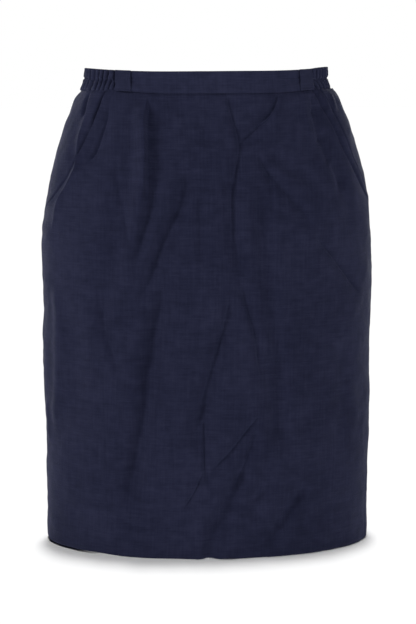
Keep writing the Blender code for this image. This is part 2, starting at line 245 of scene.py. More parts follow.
def seam_reach(side, drop):
    """Reach of the side seam; side is -1 for the wearer's right, +1 for the left."""
    swing = SEAM_SWING * eased((drop - SWING_START) / (SWING_END - SWING_START))
    return side * quarter_girth(drop) - swing


def by_side(side):
    """The column of a table that belongs to a side."""
    return "right" if side < 0 else "left"


def front_edge(side, drop):
    """Reach of the front panel's side edge, at the pocket opening or the side seam."""
    inset = float(column(POCKET, by_side(side), drop)) if drop < POCKET_END else 0.0
    return seam_reach(side, drop) - side * (inset + SEAM_GAP / 2)


# ---- Creases ----
# Each row is a crease in the cloth. Its path is (reach, drop) pairs from its top to its
# foot, and rise is its height, negative for a trough. minus and plus are the widths of
# its slopes towards -reach and +reach. A soft crease is rounded and a line is pinched.
# The front's paths were picked on the photo. A scratch program turned many of them into
# reach and drop, and the others, like all heights and widths, were set by hand.

Crease = namedtuple("Crease", "kind path rise minus plus")
CREASES = [
    # The wearer's right pleat: the full cloth that feeds it, and the foot of its ramp.
    Crease("line", [(-0.136, 0.108), (-0.130, 0.140), (-0.126, 0.158), (-0.122, 0.182), (-0.113, 0.224)],
           -0.0030, 0.0040, 0.0060),
    Crease("soft", [(-0.136, 0.150), (-0.134, 0.180), (-0.138, 0.225), (-0.148, 0.264), (-0.160, 0.330)],
           -0.0052, 0.014, 0.014),
    # The long pressed line that runs from the band down the middle.
    Crease("line", [(0.010, 0.030), (0.012, 0.040), (0.017, 0.058), (0.024, 0.082), (0.025, 0.094),
                    (0.021, 0.116), (0.016, 0.140), (0.014, 0.154), (0.015, 0.188), (0.016, 0.204),
                    (0.020, 0.226), (0.022, 0.254)], -0.0055, 0.0034, 0.0095),
    Crease("soft", [(0.020, 0.120), (0.012, 0.160), (0.011, 0.200), (0.018, 0.232), (0.022, 0.262)],
           -0.0032, 0.0075, 0.012),
    # The short fold from the left pleat's foot in to the pressed line, and small lines beside it.
    Crease("line", [(0.070, 0.053), (0.062, 0.060), (0.052, 0.067), (0.040, 0.077), (0.031, 0.085),
                    (0.024, 0.093)], -0.0050, 0.0044, 0.0044),
    Crease("line", [(-0.020, 0.066), (-0.019, 0.090)], -0.0016, 0.003, 0.004),
    Crease("line", [(0.008, 0.068), (0.006, 0.100)], -0.0013, 0.003, 0.004),
    Crease("line", [(0.002, 0.126), (0.005, 0.140), (0.009, 0.158)], -0.0016, 0.003, 0.004),
    Crease("line", [(-0.026, 0.150), (-0.026, 0.200), (-0.024, 0.250)], -0.0024, 0.003, 0.005),
    # From the middle down to the right, into the long trough of that side.
    Crease("soft", [(-0.036, 0.110), (-0.050, 0.158), (-0.060, 0.180), (-0.071, 0.200), (-0.080, 0.222),
                    (-0.088, 0.245), (-0.095, 0.270), (-0.106, 0.308)], -0.0076, 0.0066, 0.0110),
    Crease("soft", [(-0.060, 0.136), (-0.070, 0.164), (-0.084, 0.198), (-0.094, 0.226), (-0.110, 0.270)],
           0.0046, 0.0070, 0.0070),
    Crease("soft", [(-0.062, 0.228), (-0.069, 0.256), (-0.078, 0.292), (-0.085, 0.321), (-0.089, 0.345),
                    (-0.092, 0.371), (-0.095, 0.397), (-0.097, 0.423), (-0.101, 0.450), (-0.105, 0.473),
                    (-0.109, 0.500), (-0.113, 0.540), (-0.118, 0.580)], -0.0116, 0.0100, 0.0130),
    Crease("soft", [(-0.102, 0.290), (-0.112, 0.370), (-0.120, 0.460)], 0.0021, 0.016, 0.010),
    # The long line that leans to the right below the middle, and its feet.
    Crease("line", [(0.014, 0.266), (0.009, 0.294), (0.004, 0.319), (-0.003, 0.345), (-0.010, 0.367),
                    (-0.017, 0.393), (-0.022, 0.413), (-0.025, 0.433), (-0.034, 0.462)],
           -0.0056, 0.0040, 0.014),
    Crease("soft", [(0.008, 0.300), (-0.006, 0.356), (-0.018, 0.408), (-0.026, 0.450), (-0.034, 0.486)],
           -0.0044, 0.0240, 0.0090),
    Crease("soft", [(-0.020, 0.408), (-0.028, 0.440), (-0.040, 0.470)], -0.0030, 0.008, 0.008),
    Crease("line", [(-0.018, 0.428), (-0.018, 0.465), (-0.018, 0.483), (-0.016, 0.503), (-0.011, 0.524)],
           -0.0052, 0.0028, 0.0060),
    Crease("line", [(-0.018, 0.498), (-0.027, 0.521), (-0.043, 0.550)], -0.0044, 0.0032, 0.0055),
    # The two lines of the left side, which meet in a broad hollow.
    Crease("line", [(0.024, 0.256), (0.029, 0.278), (0.037, 0.304), (0.044, 0.327), (0.049, 0.359),
                    (0.055, 0.386)], -0.0044, 0.0034, 0.0085),
    Crease("soft", [(0.050, 0.110), (0.053, 0.208), (0.056, 0.236), (0.060, 0.264), (0.062, 0.282),
                    (0.066, 0.315), (0.073, 0.341), (0.072, 0.379), (0.076, 0.420)],
           -0.0056, 0.0090, 0.0130),
    Crease("soft", [(0.052, 0.160), (0.048, 0.190), (0.053, 0.212)], -0.0014, 0.0100, 0.0100),
    Crease("soft", [(0.062, 0.350), (0.070, 0.395), (0.075, 0.435), (0.082, 0.478)],
           -0.0084, 0.0120, 0.0150),
    # The fan of lines near the hem.
    Crease("line", [(0.055, 0.426), (0.034, 0.451), (0.017, 0.473), (0.000, 0.491), (-0.012, 0.510)],
           -0.0041, 0.0042, 0.0065),
    Crease("line", [(0.051, 0.442), (0.040, 0.475), (0.032, 0.497), (0.022, 0.522)],
           -0.0039, 0.0040, 0.0070),
    Crease("soft", [(0.036, 0.486), (0.023, 0.519), (0.016, 0.535), (0.008, 0.553), (-0.003, 0.573),
                    (-0.006, 0.593), (-0.009, 0.611)], -0.0078, 0.0085, 0.0140),
    Crease("soft", [(0.082, 0.512), (0.070, 0.522), (0.057, 0.531), (0.037, 0.549), (0.026, 0.562)],
           -0.0034, 0.0100, 0.0056),
    Crease("soft", [(0.062, 0.480), (0.056, 0.530), (0.048, 0.575)], -0.0034, 0.0090, 0.0120),
    Crease("soft", [(0.124, 0.521), (0.112, 0.533), (0.099, 0.547), (0.087, 0.565), (0.074, 0.582),
                    (0.062, 0.600)], -0.0050, 0.0110, 0.0060),
    Crease("line", [(0.156, 0.552), (0.132, 0.560), (0.110, 0.574)], -0.0016, 0.0040, 0.0100),
    Crease("line", [(-0.128, 0.560), (-0.097, 0.573), (-0.080, 0.568)], -0.0023, 0.0040, 0.0040),
    Crease("line", [(-0.074, 0.564), (-0.062, 0.540)], -0.0023, 0.0040, 0.0040),
    # From the middle up and out to the left pocket.
    Crease("line", [(0.048, 0.096), (0.053, 0.110), (0.059, 0.122), (0.067, 0.132), (0.082, 0.146),
                    (0.093, 0.160), (0.106, 0.172), (0.122, 0.192)], -0.0048, 0.0060, 0.0075),
    Crease("soft", [(0.058, 0.096), (0.072, 0.108), (0.086, 0.118), (0.102, 0.127), (0.126, 0.138)],
           -0.0042, 0.0075, 0.0085),
    Crease("line", [(0.060, 0.118), (0.065, 0.140), (0.069, 0.184)], -0.0026, 0.0040, 0.0050),
    Crease("line", [(0.122, 0.202), (0.165, 0.242), (0.212, 0.288)], -0.0054, 0.0060, 0.0080),
    Crease("line", [(0.113, 0.036), (0.117, 0.062), (0.122, 0.088)], 0.0016, 0.0060, 0.0050),
    Crease("soft", [(0.164, 0.126), (0.178, 0.160), (0.192, 0.205)], -0.0026, 0.016, 0.012),
    # The hollow that follows the right pleat's fold as it opens.
    Crease("soft", [(-0.090, 0.126), (-0.092, 0.158), (-0.097, 0.188), (-0.102, 0.214), (-0.106, 0.236),
                    (-0.113, 0.264), (-0.119, 0.290)], -0.0036, 0.0076, 0.0090),
    # Small hollows and puffs in front of the left pocket.
    Crease("line", [(0.125, 0.034), (0.128, 0.044), (0.132, 0.056)], -0.0024, 0.0032, 0.0040),
    Crease("soft", [(0.127, 0.044), (0.134, 0.066), (0.140, 0.092)], -0.0050, 0.0080, 0.0120),
    Crease("soft", [(0.136, 0.078), (0.146, 0.096), (0.155, 0.120)], -0.0050, 0.0090, 0.0120),
    Crease("soft", [(0.154, 0.112), (0.166, 0.130), (0.178, 0.150)], -0.0042, 0.0080, 0.0120),
    Crease("soft", [(0.130, 0.106), (0.146, 0.132), (0.160, 0.154)], 0.0022, 0.0120, 0.0120),
    # The wearer's right pocket: the ridge that crosses its lip, and the cloth pinched above.
    Crease("line", [(-0.178, 0.050), (-0.182, 0.068), (-0.187, 0.090), (-0.188, 0.104), (-0.189, 0.118),
                    (-0.198, 0.133), (-0.211, 0.150), (-0.219, 0.160), (-0.230, 0.184), (-0.240, 0.208)],
           0.0048, 0.0036, 0.0080),
    Crease("line", [(-0.142, 0.042), (-0.145, 0.052), (-0.148, 0.064), (-0.154, 0.082), (-0.162, 0.100),
                    (-0.172, 0.112), (-0.185, 0.122)], -0.0050, 0.0034, 0.0060),
    Crease("soft", [(-0.178, 0.027), (-0.183, 0.042), (-0.187, 0.060)], -0.0050, 0.0022, 0.0024),
    Crease("line", [(-0.160, 0.280), (-0.148, 0.329), (-0.136, 0.359), (-0.127, 0.386)],
           -0.0034, 0.0044, 0.0055),
    Crease("soft", [(-0.238, 0.262), (-0.224, 0.300), (-0.223, 0.353), (-0.225, 0.379),
                    (-0.229, 0.413), (-0.232, 0.485)], 0.0036, 0.011, 0.012),
    Crease("soft", [(-0.200, 0.300), (-0.190, 0.370), (-0.196, 0.450)], -0.0026, 0.014, 0.016),
    Crease("line", [(-0.262, 0.420), (-0.256, 0.450), (-0.250, 0.480)], 0.0018, 0.005, 0.005),
    # The left side towards the back.
    Crease("soft", [(0.226, 0.034), (0.238, 0.060), (0.246, 0.088)], -0.0030, 0.022, 0.030),
    Crease("soft", [(0.236, 0.260), (0.230, 0.330), (0.222, 0.400), (0.222, 0.470)], -0.0016, 0.024, 0.030),
    Crease("soft", [(0.170, 0.330), (0.176, 0.410), (0.168, 0.500)], -0.0020, 0.014, 0.014),
    # The back.
    Crease("soft", [(0.330, 0.060), (0.352, 0.150), (0.350, 0.260)], -0.0045, 0.010, 0.014),
    Crease("line", [(0.392, 0.100), (0.404, 0.170), (0.396, 0.240)], -0.0028, 0.004, 0.008),
    Crease("soft", [(0.430, 0.120), (0.444, 0.220), (0.424, 0.330), (0.408, 0.420)],
           -0.0066, 0.008, 0.020),
    Crease("line", [(0.470, 0.260), (0.458, 0.330), (0.440, 0.400)], -0.0030, 0.005, 0.008),
    Crease("soft", [(0.505, 0.190), (0.530, 0.290), (0.536, 0.390), (0.524, 0.480)],
           -0.0056, 0.018, 0.008),
    Crease("line", [(0.560, 0.060), (0.566, 0.130), (0.560, 0.200)], -0.0020, 0.004, 0.004),
    Crease("line", [(0.520, 0.470), (0.540, 0.520), (0.566, 0.566)], -0.0032, 0.004, 0.007),
    Crease("soft", [(0.618, 0.110), (0.610, 0.220), (0.628, 0.330), (0.650, 0.430)],
           -0.0068, 0.009, 0.020),
    Crease("line", [(0.672, 0.080), (0.682, 0.150), (0.676, 0.220)], -0.0026, 0.006, 0.004),
    Crease("soft", [(0.716, 0.230), (0.700, 0.330), (0.716, 0.430), (0.736, 0.540)],
           -0.0060, 0.018, 0.008),
    Crease("line", [(0.760, 0.120), (0.742, 0.200), (0.746, 0.280)], -0.0028, 0.004, 0.007),
    Crease("soft", [(0.800, 0.180), (0.786, 0.290), (0.792, 0.400)], -0.0040, 0.012, 0.014),
    Crease("line", [(0.450, 0.440), (0.478, 0.500), (0.498, 0.560)], -0.0030, 0.004, 0.007),
    Crease("line", [(0.640, 0.480), (0.620, 0.530), (0.590, 0.570)], -0.0030, 0.006, 0.004),
    Crease("soft", [(0.370, 0.400), (0.384, 0.480), (0.378, 0.570)], -0.0034, 0.012, 0.012),
]

# A knife pleat: a ramp, ramp wide, rises to its folded edge, which faces the centre. There
# the cloth drops by a step and sinks further into a trough. edge is the fold's own width.
# start and hold are the shares of its length where it stands full and starts to open out.
Pleat = namedtuple("Pleat", "path height step sink ramp trough edge start hold")
PLEATS = [
    Pleat([(-0.091, 0.028), (-0.090, 0.040), (-0.092, 0.054), (-0.092, 0.072), (-0.092, 0.100),
           (-0.093, 0.124), (-0.098, 0.158), (-0.104, 0.188), (-0.109, 0.214), (-0.112, 0.234),
           (-0.118, 0.266), (-0.122, 0.292)], 0.0132, 0.0006, 0.0014, 0.0225, 0.026, 0.0034, 0.13, 0.24),
    Pleat([(0.079, 0.028), (0.077, 0.036), (0.070, 0.051), (0.058, 0.062), (0.038, 0.077),
           (0.026, 0.090)], 0.0024, 0.0028, 0.0004, 0.024, 0.010, 0.0016, 0.07, 0.34),
]
PLEAT_OPEN = 0.011  # how much wider a pleat's edge grows as it opens
PATH_STEPS = 20  # points on a crease's smooth path
TIP = 0.0005  # radius of a pinched line's bottom
FADE_IN = 0.18  # shares of a crease's length over which its ends fade
FADE_OUT = 0.26
BAND_REACH = 0.040  # a crease that starts above this drop comes from under the band
HEM_REACH = 0.605  # and one that ends below this drop runs off the hem

GATHER_PITCH = 0.017
GATHER_DEPTH = 0.0015
# Lumps round the skirt, their height down it, how far they stand, their slant and seed.
Uneven = namedtuple("Uneven", "lumps size height slant seed")
UNEVEN = [
    Uneven(16, 0.075, 0.0016, 0.0, 3),
    Uneven(34, 0.034, 0.00085, 0.5, 5),
    Uneven(46, 0.026, 0.00065, -0.7, 6),
    Uneven(96, 0.011, 0.00032, 0.4, 7),
    Uneven(120, 0.0075, 0.00018, -0.6, 8),
]


def smooth_path(path):
    """The path's points, closer together and on a smooth line."""
    points = np.array(path, float)
    run = np.concatenate([[0.0], np.cumsum(np.hypot(*np.diff(points, axis=0).T))])
    at = np.linspace(0.0, run[-1], PATH_STEPS)
    return np.stack([curve_through(run, points[:, axis], at) for axis in (0, 1)], axis=-1)


def beside(path, reach, drop):
    """Signed distance from a path, positive towards +reach, and the share of it passed."""
    nearest = np.full(reach.shape, np.inf)
    signed = np.zeros(reach.shape)
    passed = np.zeros(reach.shape)
    for i, (start, end) in enumerate(zip(path, path[1:])):
        run = end - start
        from_reach = reach - start[0]
        from_drop = drop - start[1]
        along = (from_reach * run[0] + from_drop * run[1]) / (run @ run)
        along = np.clip(along, 0.0, 1.0)
        off = np.hypot(from_reach - along * run[0], from_drop - along * run[1])
        side = np.where(from_reach * run[1] - from_drop * run[0] < 0.0, -1.0, 1.0)
        closer = off < nearest
        nearest = np.where(closer, off, nearest)
        signed = np.where(closer, off * side, signed)
        passed = np.where(closer, (i + along) / (len(path) - 1), passed)
    return signed, passed


def round_path(path, reach, around):
    """Reaches as measured on the lap of the cloth that the path is on."""
    middle = path[:, 0].mean()
    return middle + (reach - middle + around / 2) % around - around / 2


def crease_rise(crease, drop, reach, around):
    """Height of one crease over rows of cloth."""
    path = smooth_path(crease.path)
    lapped = round_path(path, reach, around)
    spread = 4.0 * max(crease.minus, crease.plus)
    low, high = path.min(axis=0) - spread, path.max(axis=0) + spread
    near = (lapped > low[0]) & (lapped < high[0]) & (drop > low[1]) & (drop < high[1])
    rise = np.zeros(reach.shape)
    if not near.any():
        return rise
    off, passed = beside(path, lapped[near], drop[near])
    width = np.where(off < 0.0, crease.minus, crease.plus)
    if crease.kind == "soft":
        profile = np.exp(-((off / width) ** 2))
    else:
        profile = np.exp(-(np.sqrt(off * off + TIP * TIP) - TIP) / width)
        profile *= eased(2.0 - np.abs(off) / (2.0 * width))
    fade_in = 1.0 if path[0][1] < BAND_REACH else eased(passed / FADE_IN)
    fade_out = 1.0 if path[-1][1] > HEM_REACH else eased((1.0 - passed) / FADE_OUT)
    rise[near] = crease.rise * profile * fade_in * fade_out
    return rise


def pleat_rise(pleat, drop, reach, around):
    """Height of a knife pleat: a slow ramp up to its edge, then a drop and a slow rise."""
    path = smooth_path(pleat.path)
    facing = -math.copysign(1.0, path[0][0])
    off, passed = beside(path, round_path(path, reach, around), drop)
    off = off * facing
    opened = eased((passed - pleat.hold) / (1.0 - pleat.hold))
    edge = pleat.edge + PLEAT_OPEN * opened
    ramp = pleat.height * eased(1.0 + off / pleat.ramp)
    across = np.clip((off - edge) / pleat.trough, 0.0, 1.0)
    trough = -pleat.step * (1.0 - eased(across)) - pleat.sink * 4.0 * across * (1.0 - across)
    share = eased(off / edge)
    return (ramp * (1.0 - share) + trough * share) * (1.0 - opened) * eased(passed / pleat.start)


def cloudy(share, drop, lumps_round, lump_drop, seed):
    """Smooth noise from -1 to 1, with that many lumps round the skirt."""
    lattice = np.random.default_rng(seed).uniform(-1.0, 1.0, (96, lumps_round))
    across = (share % 1.0) * lumps_round
    down = drop / lump_drop + 4.0
    i = np.floor(across).astype(int)
    j = np.floor(down).astype(int)
    right = eased(across - i)
    below = eased(down - j)
    i, next_i = i % lumps_round, (i + 1) % lumps_round
    j, next_j = j % 96, (j + 1) % 96
    upper = lattice[j, i] * (1 - right) + lattice[j, next_i] * right
    lower = lattice[next_j, i] * (1 - right) + lattice[next_j, next_i] * right
    return upper * (1 - below) + lower * below


def gather_creases():
    """Puckers that the elastic throws below the casing, uneven in place and length."""
    draw = np.random.default_rng(11)
    top = girth(BAND_HEIGHT)
    at = BAND_JOIN + 0.026
    made = []
    while at < top - BAND_JOIN - 0.026:
        length = draw.uniform(0.022, 0.075)
        drift = draw.uniform(-0.010, 0.010)
        stops = [BAND_HEIGHT + 0.001, BAND_HEIGHT + 0.45 * length, BAND_HEIGHT + length]
        path = [(at / top * girth(d) + drift * k, d) for k, d in zip((0.0, 0.4, 1.0), stops)]
        depth = GATHER_DEPTH * draw.uniform(0.5, 1.2)
        made.append(Crease("soft", path, depth, draw.uniform(0.004, 0.006), draw.uniform(0.004, 0.007)))
        at += GATHER_PITCH * draw.uniform(0.65, 1.35)
    return made


GATHERS = gather_creases()


def relief(drop, reach):
    """How far the folded cloth stands off the bare form, over rows."""
    around = np.array([girth(d) for d in drop])[:, None]
    down = np.broadcast_to(np.asarray(drop)[:, None], reach.shape)
    rise = sum(crease_rise(crease, down, reach, around) for crease in CREASES + GATHERS)
    rise = rise + sum(pleat_rise(pleat, down, reach, around) for pleat in PLEATS)
    below_band = eased((down - BAND_HEIGHT) / 0.012)
    uneven = sum(layer.height * cloudy((reach + layer.slant * down) / around, down, layer.lumps,
                                       layer.size, layer.seed) for layer in UNEVEN)
    rise = (rise + uneven) * below_band
    for side in (-1, 1):
        seam = np.array([seam_reach(side, d) for d in drop])[:, None]
        off = (reach - seam + around / 2) % around - around / 2
        pucker = 0.3 + 0.7 * cloudy(reach / around, down, 7, 0.011, 21 + side)
        rise = rise - 0.0007 * np.exp(-((off / 0.0022) ** 2))
        rise = rise + 0.0005 * pucker * np.exp(-((np.abs(off) - 0.007) / 0.005) ** 2)
    return rise


# ---- Shells of cloth ----

# A rounded edge: distances from the border, and how far each skin draws in there, as
# parts of its radius.
EDGE_AT = np.array([0.0, 0.134, 0.5])
EDGE_PINCH = np.array([1.0, 0.5, 0.134])
Rolls = namedtuple("Rolls", "top bottom start end")


def edged(start, end, inner, roll_start, roll_end):
    """Places from start to end, with closer ones over its two rounded edges."""
    return np.concatenate([start + roll_start * EDGE_AT, inner, end - roll_end * EDGE_AT[::-1]])


def pinch(shape, rolls):
    """How far each skin draws in at the borders of rows."""
    made = np.zeros(shape)
    for i, part in enumerate(EDGE_PINCH):
        made[i] = np.maximum(made[i], rolls.top * part)
        made[-1 - i] = np.maximum(made[-1 - i], rolls.bottom * part)
        made[:, i] = np.maximum(made[:, i], rolls.start * part)
        made[:, -1 - i] = np.maximum(made[:, -1 - i], rolls.end * part)
    return made


def calmed(rise):
    """A smoother copy of rows of rises that never passes above them."""
    low = rise
    for axis in (0, 1):
        edge = np.pad(low, [(1, 1) if a == axis else (0, 0) for a in (0, 1)], mode="edge")
        low = np.minimum(np.minimum(np.take(edge, range(0, low.shape[axis]), axis), low),
                         np.take(edge, range(2, low.shape[axis] + 2), axis))
    for axis in (0, 1):
        edge = np.pad(low, [(1, 1) if a == axis else (0, 0) for a in (0, 1)], mode="edge")
        low = (np.take(edge, range(0, low.shape[axis]), axis) + 2.0 * low
               + np.take(edge, range(2, low.shape[axis] + 2), axis)) / 4.0
    return np.minimum(low, rise)


def grid_faces(rows, columns, first, flip):
    """Quads over a grid of vertices numbered row by row from first."""
    corner = first + np.arange(rows - 1)[:, None] * columns + np.arange(columns - 1)[None, :]
    quads = np.stack([corner, corner + columns, corner + columns + 1, corner + 1], axis=-1)
    quads = quads.reshape(-1, 4)
    return quads[:, ::-1] if flip else quads


def thinned(count, step):
    """Every step-th place out of count, and the last ones at each end."""
    kept = set(range(len(EDGE_AT), count - len(EDGE_AT), step))
    kept |= set(range(len(EDGE_AT))) | set(range(count - len(EDGE_AT), count))
    return np.array(sorted(kept))


def rim_faces(rows, columns, row_kept, column_kept):
    """Faces that close the four borders between the outer grid and the thinned lining."""
    first, width = rows * columns, len(column_kept)
    last_row = first + (len(row_kept) - 1) * width
    rims = []
    for a, b in zip(range(width - 1), range(1, width)):
        run = list(range(column_kept[a], column_kept[b] + 1))
        rims.append(run + [first + b, first + a])
        below = [(rows - 1) * columns + i for i in run]
        rims.append((below + [last_row + b, last_row + a])[::-1])
    for a, b in zip(range(len(row_kept) - 1), range(1, len(row_kept))):
        run = [i * columns for i in range(row_kept[a], row_kept[b] + 1)]
        rims.append((run + [first + b * width, first + a * width])[::-1])
        beside_run = [i + columns - 1 for i in run]
        rims.append(beside_run + [first + (b + 1) * width - 1, first + (a + 1) * width - 1])
    return rims


def fill_map(mesh, name, values):
    """A UV map from one pair of values a vertex."""
    corners = np.zeros(len(mesh.loops), dtype=np.int32)
    mesh.loops.foreach_get("vertex_index", corners)
    layer = mesh.uv_layers.new(name=name)
    layer.data.foreach_set("uv", values[corners].astype(np.float32).ravel())


def finish_piece(piece, material, slot, *nodes):
    """Material, body and the CAD nodes that a piece stands for; its slot argument is not used."""
    piece.data.materials.append(material)
    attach(piece, BODY)
    if nodes:
        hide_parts(*nodes)
    SKIRT.objects.link(piece)
    return piece


Laid = namedtuple("Laid", "drop reach rise")
LAID = {}  # the rows of each sheet that has been made


def shell(name, drop, reach, rise, wall, rolls, thin=(2, 3)):
    """A sheet of cloth with thickness, from rows of places and rises.

    thin says how many rows and columns of the outer skin the lining has one of.
    """
    rows, columns = reach.shape
    drawn = pinch(reach.shape, rolls)
    skin = lay(drop, reach, rise - drawn)
    low = rise
    for _ in range(max(thin)):
        low = calmed(low)
    low = np.minimum(low - wall + drawn, rise - drawn - 0.0001)
    row_kept, column_kept = thinned(rows, thin[0]), thinned(columns, thin[1])
    kept = np.ix_(row_kept, column_kept)
    lining = lay(drop[row_kept], reach[kept], low[kept])
    points = np.concatenate([skin.reshape(-1, 3), lining.reshape(-1, 3)])
    faces = grid_faces(rows, columns, 0, False).tolist()
    faces += grid_faces(len(row_kept), len(column_kept), rows * columns, True).tolist()
    faces += rim_faces(rows, columns, row_kept, column_kept)
    mesh = bpy.data.meshes.new(name)
    mesh.from_pydata(points, [], faces)
    mesh.shade_smooth()

    down = np.broadcast_to(drop[:, None], reach.shape)
    cloth = np.stack([reach, -down], axis=-1)
    fill_map(mesh, "cloth", np.concatenate([cloth.reshape(-1, 2), cloth[kept].reshape(-1, 2)]))
    across, along = np.meshgrid(np.linspace(0.01, 0.49, columns), np.linspace(0.99, 0.01, rows))
    sheet = np.stack([across, along], axis=-1)
    inner_sheet = sheet[kept].reshape(-1, 2) + [0.5, 0.0]
    fill_map(mesh, "OFBake", np.concatenate([sheet.reshape(-1, 2), inner_sheet]))
    piece = bpy.data.objects.new(name, mesh)
    bpy.context.scene.collection.objects.link(piece)
    LAID[name] = Laid(drop, reach, rise)
    return piece


def path_reach(path, drop):
    """Reach of a crease's line at a drop."""
    return float(curve_through([point[1] for point in path], [point[0] for point in path], drop))


# Lines that the front's columns crowd to, and how much closer they stand there.
CLOSER = [(pleat.path, 4.0) for pleat in PLEATS]
CLOSER += [(crease.path, 2.0) for crease in CREASES if crease.kind == "line" and abs(crease.rise) > 0.0038]


def packed_columns(start, end, drop, count):
    """Reaches between start and end, closest together along the sharpest creases."""
    fine = np.linspace(start, end, 1500)
    weight = np.ones_like(fine)
    for path, extra in CLOSER:
        fade = eased((drop - path[0][1]) / 0.03 + 1.0) * eased((path[-1][1] - drop) / 0.04 + 1.0)
        weight += extra * fade * np.exp(-(((fine - path_reach(path, drop)) / 0.007) ** 2))
    passed = np.concatenate([[0.0], np.cumsum((weight[1:] + weight[:-1]) / 2.0)])
    return np.interp(np.linspace(0.0, passed[-1], count), passed, fine)


# ---- Materials ----


def add_node(tree, kind, **sockets):
    """A shader node, with its inputs and its plain settings by name."""
    node = tree.nodes.new(kind)
    for name, value in sockets.items():
        if hasattr(node, name):
            setattr(node, name, value)
        else:
            node.inputs[name.replace("_", " ")].default_value = value
    return node


def scaled(tree, source, across, down):
    """The cloth's own coordinates, in lumps of 1/across by 1/down metres."""
    mapping = add_node(tree, "ShaderNodeMapping", Scale=(across, down, 1.0))
    tree.links.new(source, mapping.inputs["Vector"])
    return mapping.outputs["Vector"]


def noise(tree, vector, detail, roughness):
    """Noise over a vector, between 0 and 1."""
    node = add_node(tree, "ShaderNodeTexNoise", Scale=1.0, Detail=detail, Roughness=roughness)
    tree.links.new(vector, node.inputs["Vector"])
    return node.outputs["Fac"]


def waves(tree, vector, direction, wobble):
    """Fine threads across one direction, between 0 and 1."""
    node = add_node(tree, "ShaderNodeTexWave", Scale=1.0, Distortion=wobble, Detail=1.0)
    node.bands_direction = direction
    tree.links.new(vector, node.inputs["Vector"])
    return node.outputs["Fac"]


def maths(tree, operation, a, b):
    """A two-value Math node; a and b are sockets or numbers."""
    node = add_node(tree, "ShaderNodeMath", operation=operation)
    for socket, value in zip(node.inputs, (a, b)):
        if isinstance(value, bpy.types.NodeSocket):
            tree.links.new(value, socket)
        else:
            socket.default_value = value
    return node.outputs["Value"]


def ranged(tree, value, low, high, to_low, to_high):
    """A value mapped from one range to another."""
    node = add_node(tree, "ShaderNodeMapRange")
    for name, number in (("From Min", low), ("From Max", high), ("To Min", to_low), ("To Max", to_high)):
        node.inputs[name].default_value = number
    tree.links.new(value, node.inputs["Value"])
    return node.outputs["Result"]


def mixed(tree, factor, a, b):
    """Two colours mixed by a factor socket; a and b are sockets or colours."""
    node = add_node(tree, "ShaderNodeMix", data_type="RGBA")
    tree.links.new(factor, node.inputs["Factor"])
    for name, value in (("A", a), ("B", b)):
        socket = [s for s in node.inputs if s.name == name and s.type == "RGBA"][0]
        if isinstance(value, bpy.types.NodeSocket):
            tree.links.new(value, socket)
        else:
            socket.default_value = (*value, 1.0)
    return [s for s in node.outputs if s.type == "RGBA"][0]


Cloth = namedtuple("Cloth", "dark mid light roughness sheen")
# The band's and the loops' colours are lighter copies of the panels' cloth: painted light, standing in for
# the brighter light at the waist.
CLOTHS = {
    "panel_cloth": Cloth((0.0105, 0.0122, 0.0310), (0.0150, 0.0170, 0.0405),
                         (0.0205, 0.0226, 0.0505), 0.82, 0.06),
    "band_cloth": Cloth((0.0131, 0.0152, 0.0368), (0.0186, 0.0210, 0.0480),
                        (0.0248, 0.0273, 0.0588), 0.80, 0.07),
    "loop_cloth": Cloth((0.0125, 0.0144, 0.0350), (0.0178, 0.0200, 0.0450),
                        (0.0235, 0.0258, 0.0555), 0.80, 0.08),
}
THREADS_PER_METRE = 2300.0
WAVE_STEP = 0.314  # a Wave texture has one band for each 0.314 of its vector


def cloth_material(slot):
    """Plain weave with crosswise slubs, soft mottling and a faint sheen."""
    look = CLOTHS[slot]
    material = bpy.data.materials.new(slot + "_look")
    material.use_nodes = True
    tree = material.node_tree
    shader = tree.nodes["Principled BSDF"]
    cloth = add_node(tree, "ShaderNodeUVMap", uv_map="cloth").outputs["UV"]

    slubs = noise(tree, scaled(tree, cloth, 55.0, 900.0), 3.0, 0.6)
    long_slubs = noise(tree, scaled(tree, cloth, 14.0, 420.0), 2.0, 0.5)
    warps = noise(tree, scaled(tree, cloth, 420.0, 22.0), 3.0, 0.6)
    mottle = noise(tree, scaled(tree, cloth, 60.0, 85.0), 4.0, 0.6)
    patches = noise(tree, scaled(tree, cloth, 13.0, 11.0), 2.0, 0.5)
    weft = waves(tree, scaled(tree, cloth, 60.0, THREADS_PER_METRE * WAVE_STEP), "Y", 1.2)
    warp = waves(tree, scaled(tree, cloth, THREADS_PER_METRE * WAVE_STEP, 60.0), "X", 0.8)

    streaks = maths(tree, "ADD", maths(tree, "MULTIPLY", slubs, 0.40),
                    maths(tree, "MULTIPLY", long_slubs, 0.25))
    streaks = maths(tree, "ADD", streaks, maths(tree, "MULTIPLY", warps, 0.35))
    tone = maths(tree, "ADD", maths(tree, "MULTIPLY", streaks, 0.55),
                 maths(tree, "MULTIPLY", mottle, 0.27))
    tone = maths(tree, "ADD", tone, maths(tree, "MULTIPLY", patches, 0.18))
    dark_half = mixed(tree, ranged(tree, tone, 0.42, 0.50, 0.0, 1.0), look.dark, look.mid)
    colour = mixed(tree, ranged(tree, tone, 0.50, 0.58, 0.0, 1.0), dark_half, look.light)
    tree.links.new(colour, shader.inputs["Base Color"])
    tree.links.new(ranged(tree, mottle, 0.3, 0.7, look.roughness - 0.05, look.roughness + 0.07),
                   shader.inputs["Roughness"])
    shader.inputs["Specular IOR Level"].default_value = 0.07
    shader.inputs["Sheen Weight"].default_value = look.sheen
    shader.inputs["Sheen Roughness"].default_value = 0.45
    shader.inputs["Sheen Tint"].default_value = (0.50, 0.55, 1.0, 1.0)

    threads = maths(tree, "MULTIPLY", maths(tree, "ADD", weft, warp), 0.5)
    height = maths(tree, "ADD", maths(tree, "MULTIPLY", threads, 0.25), streaks)
    bump = add_node(tree, "ShaderNodeBump", Strength=0.62, Distance=0.0006)
    tree.links.new(height, bump.inputs["Height"])
    tree.links.new(bump.outputs["Normal"], shader.inputs["Normal"])
    return material


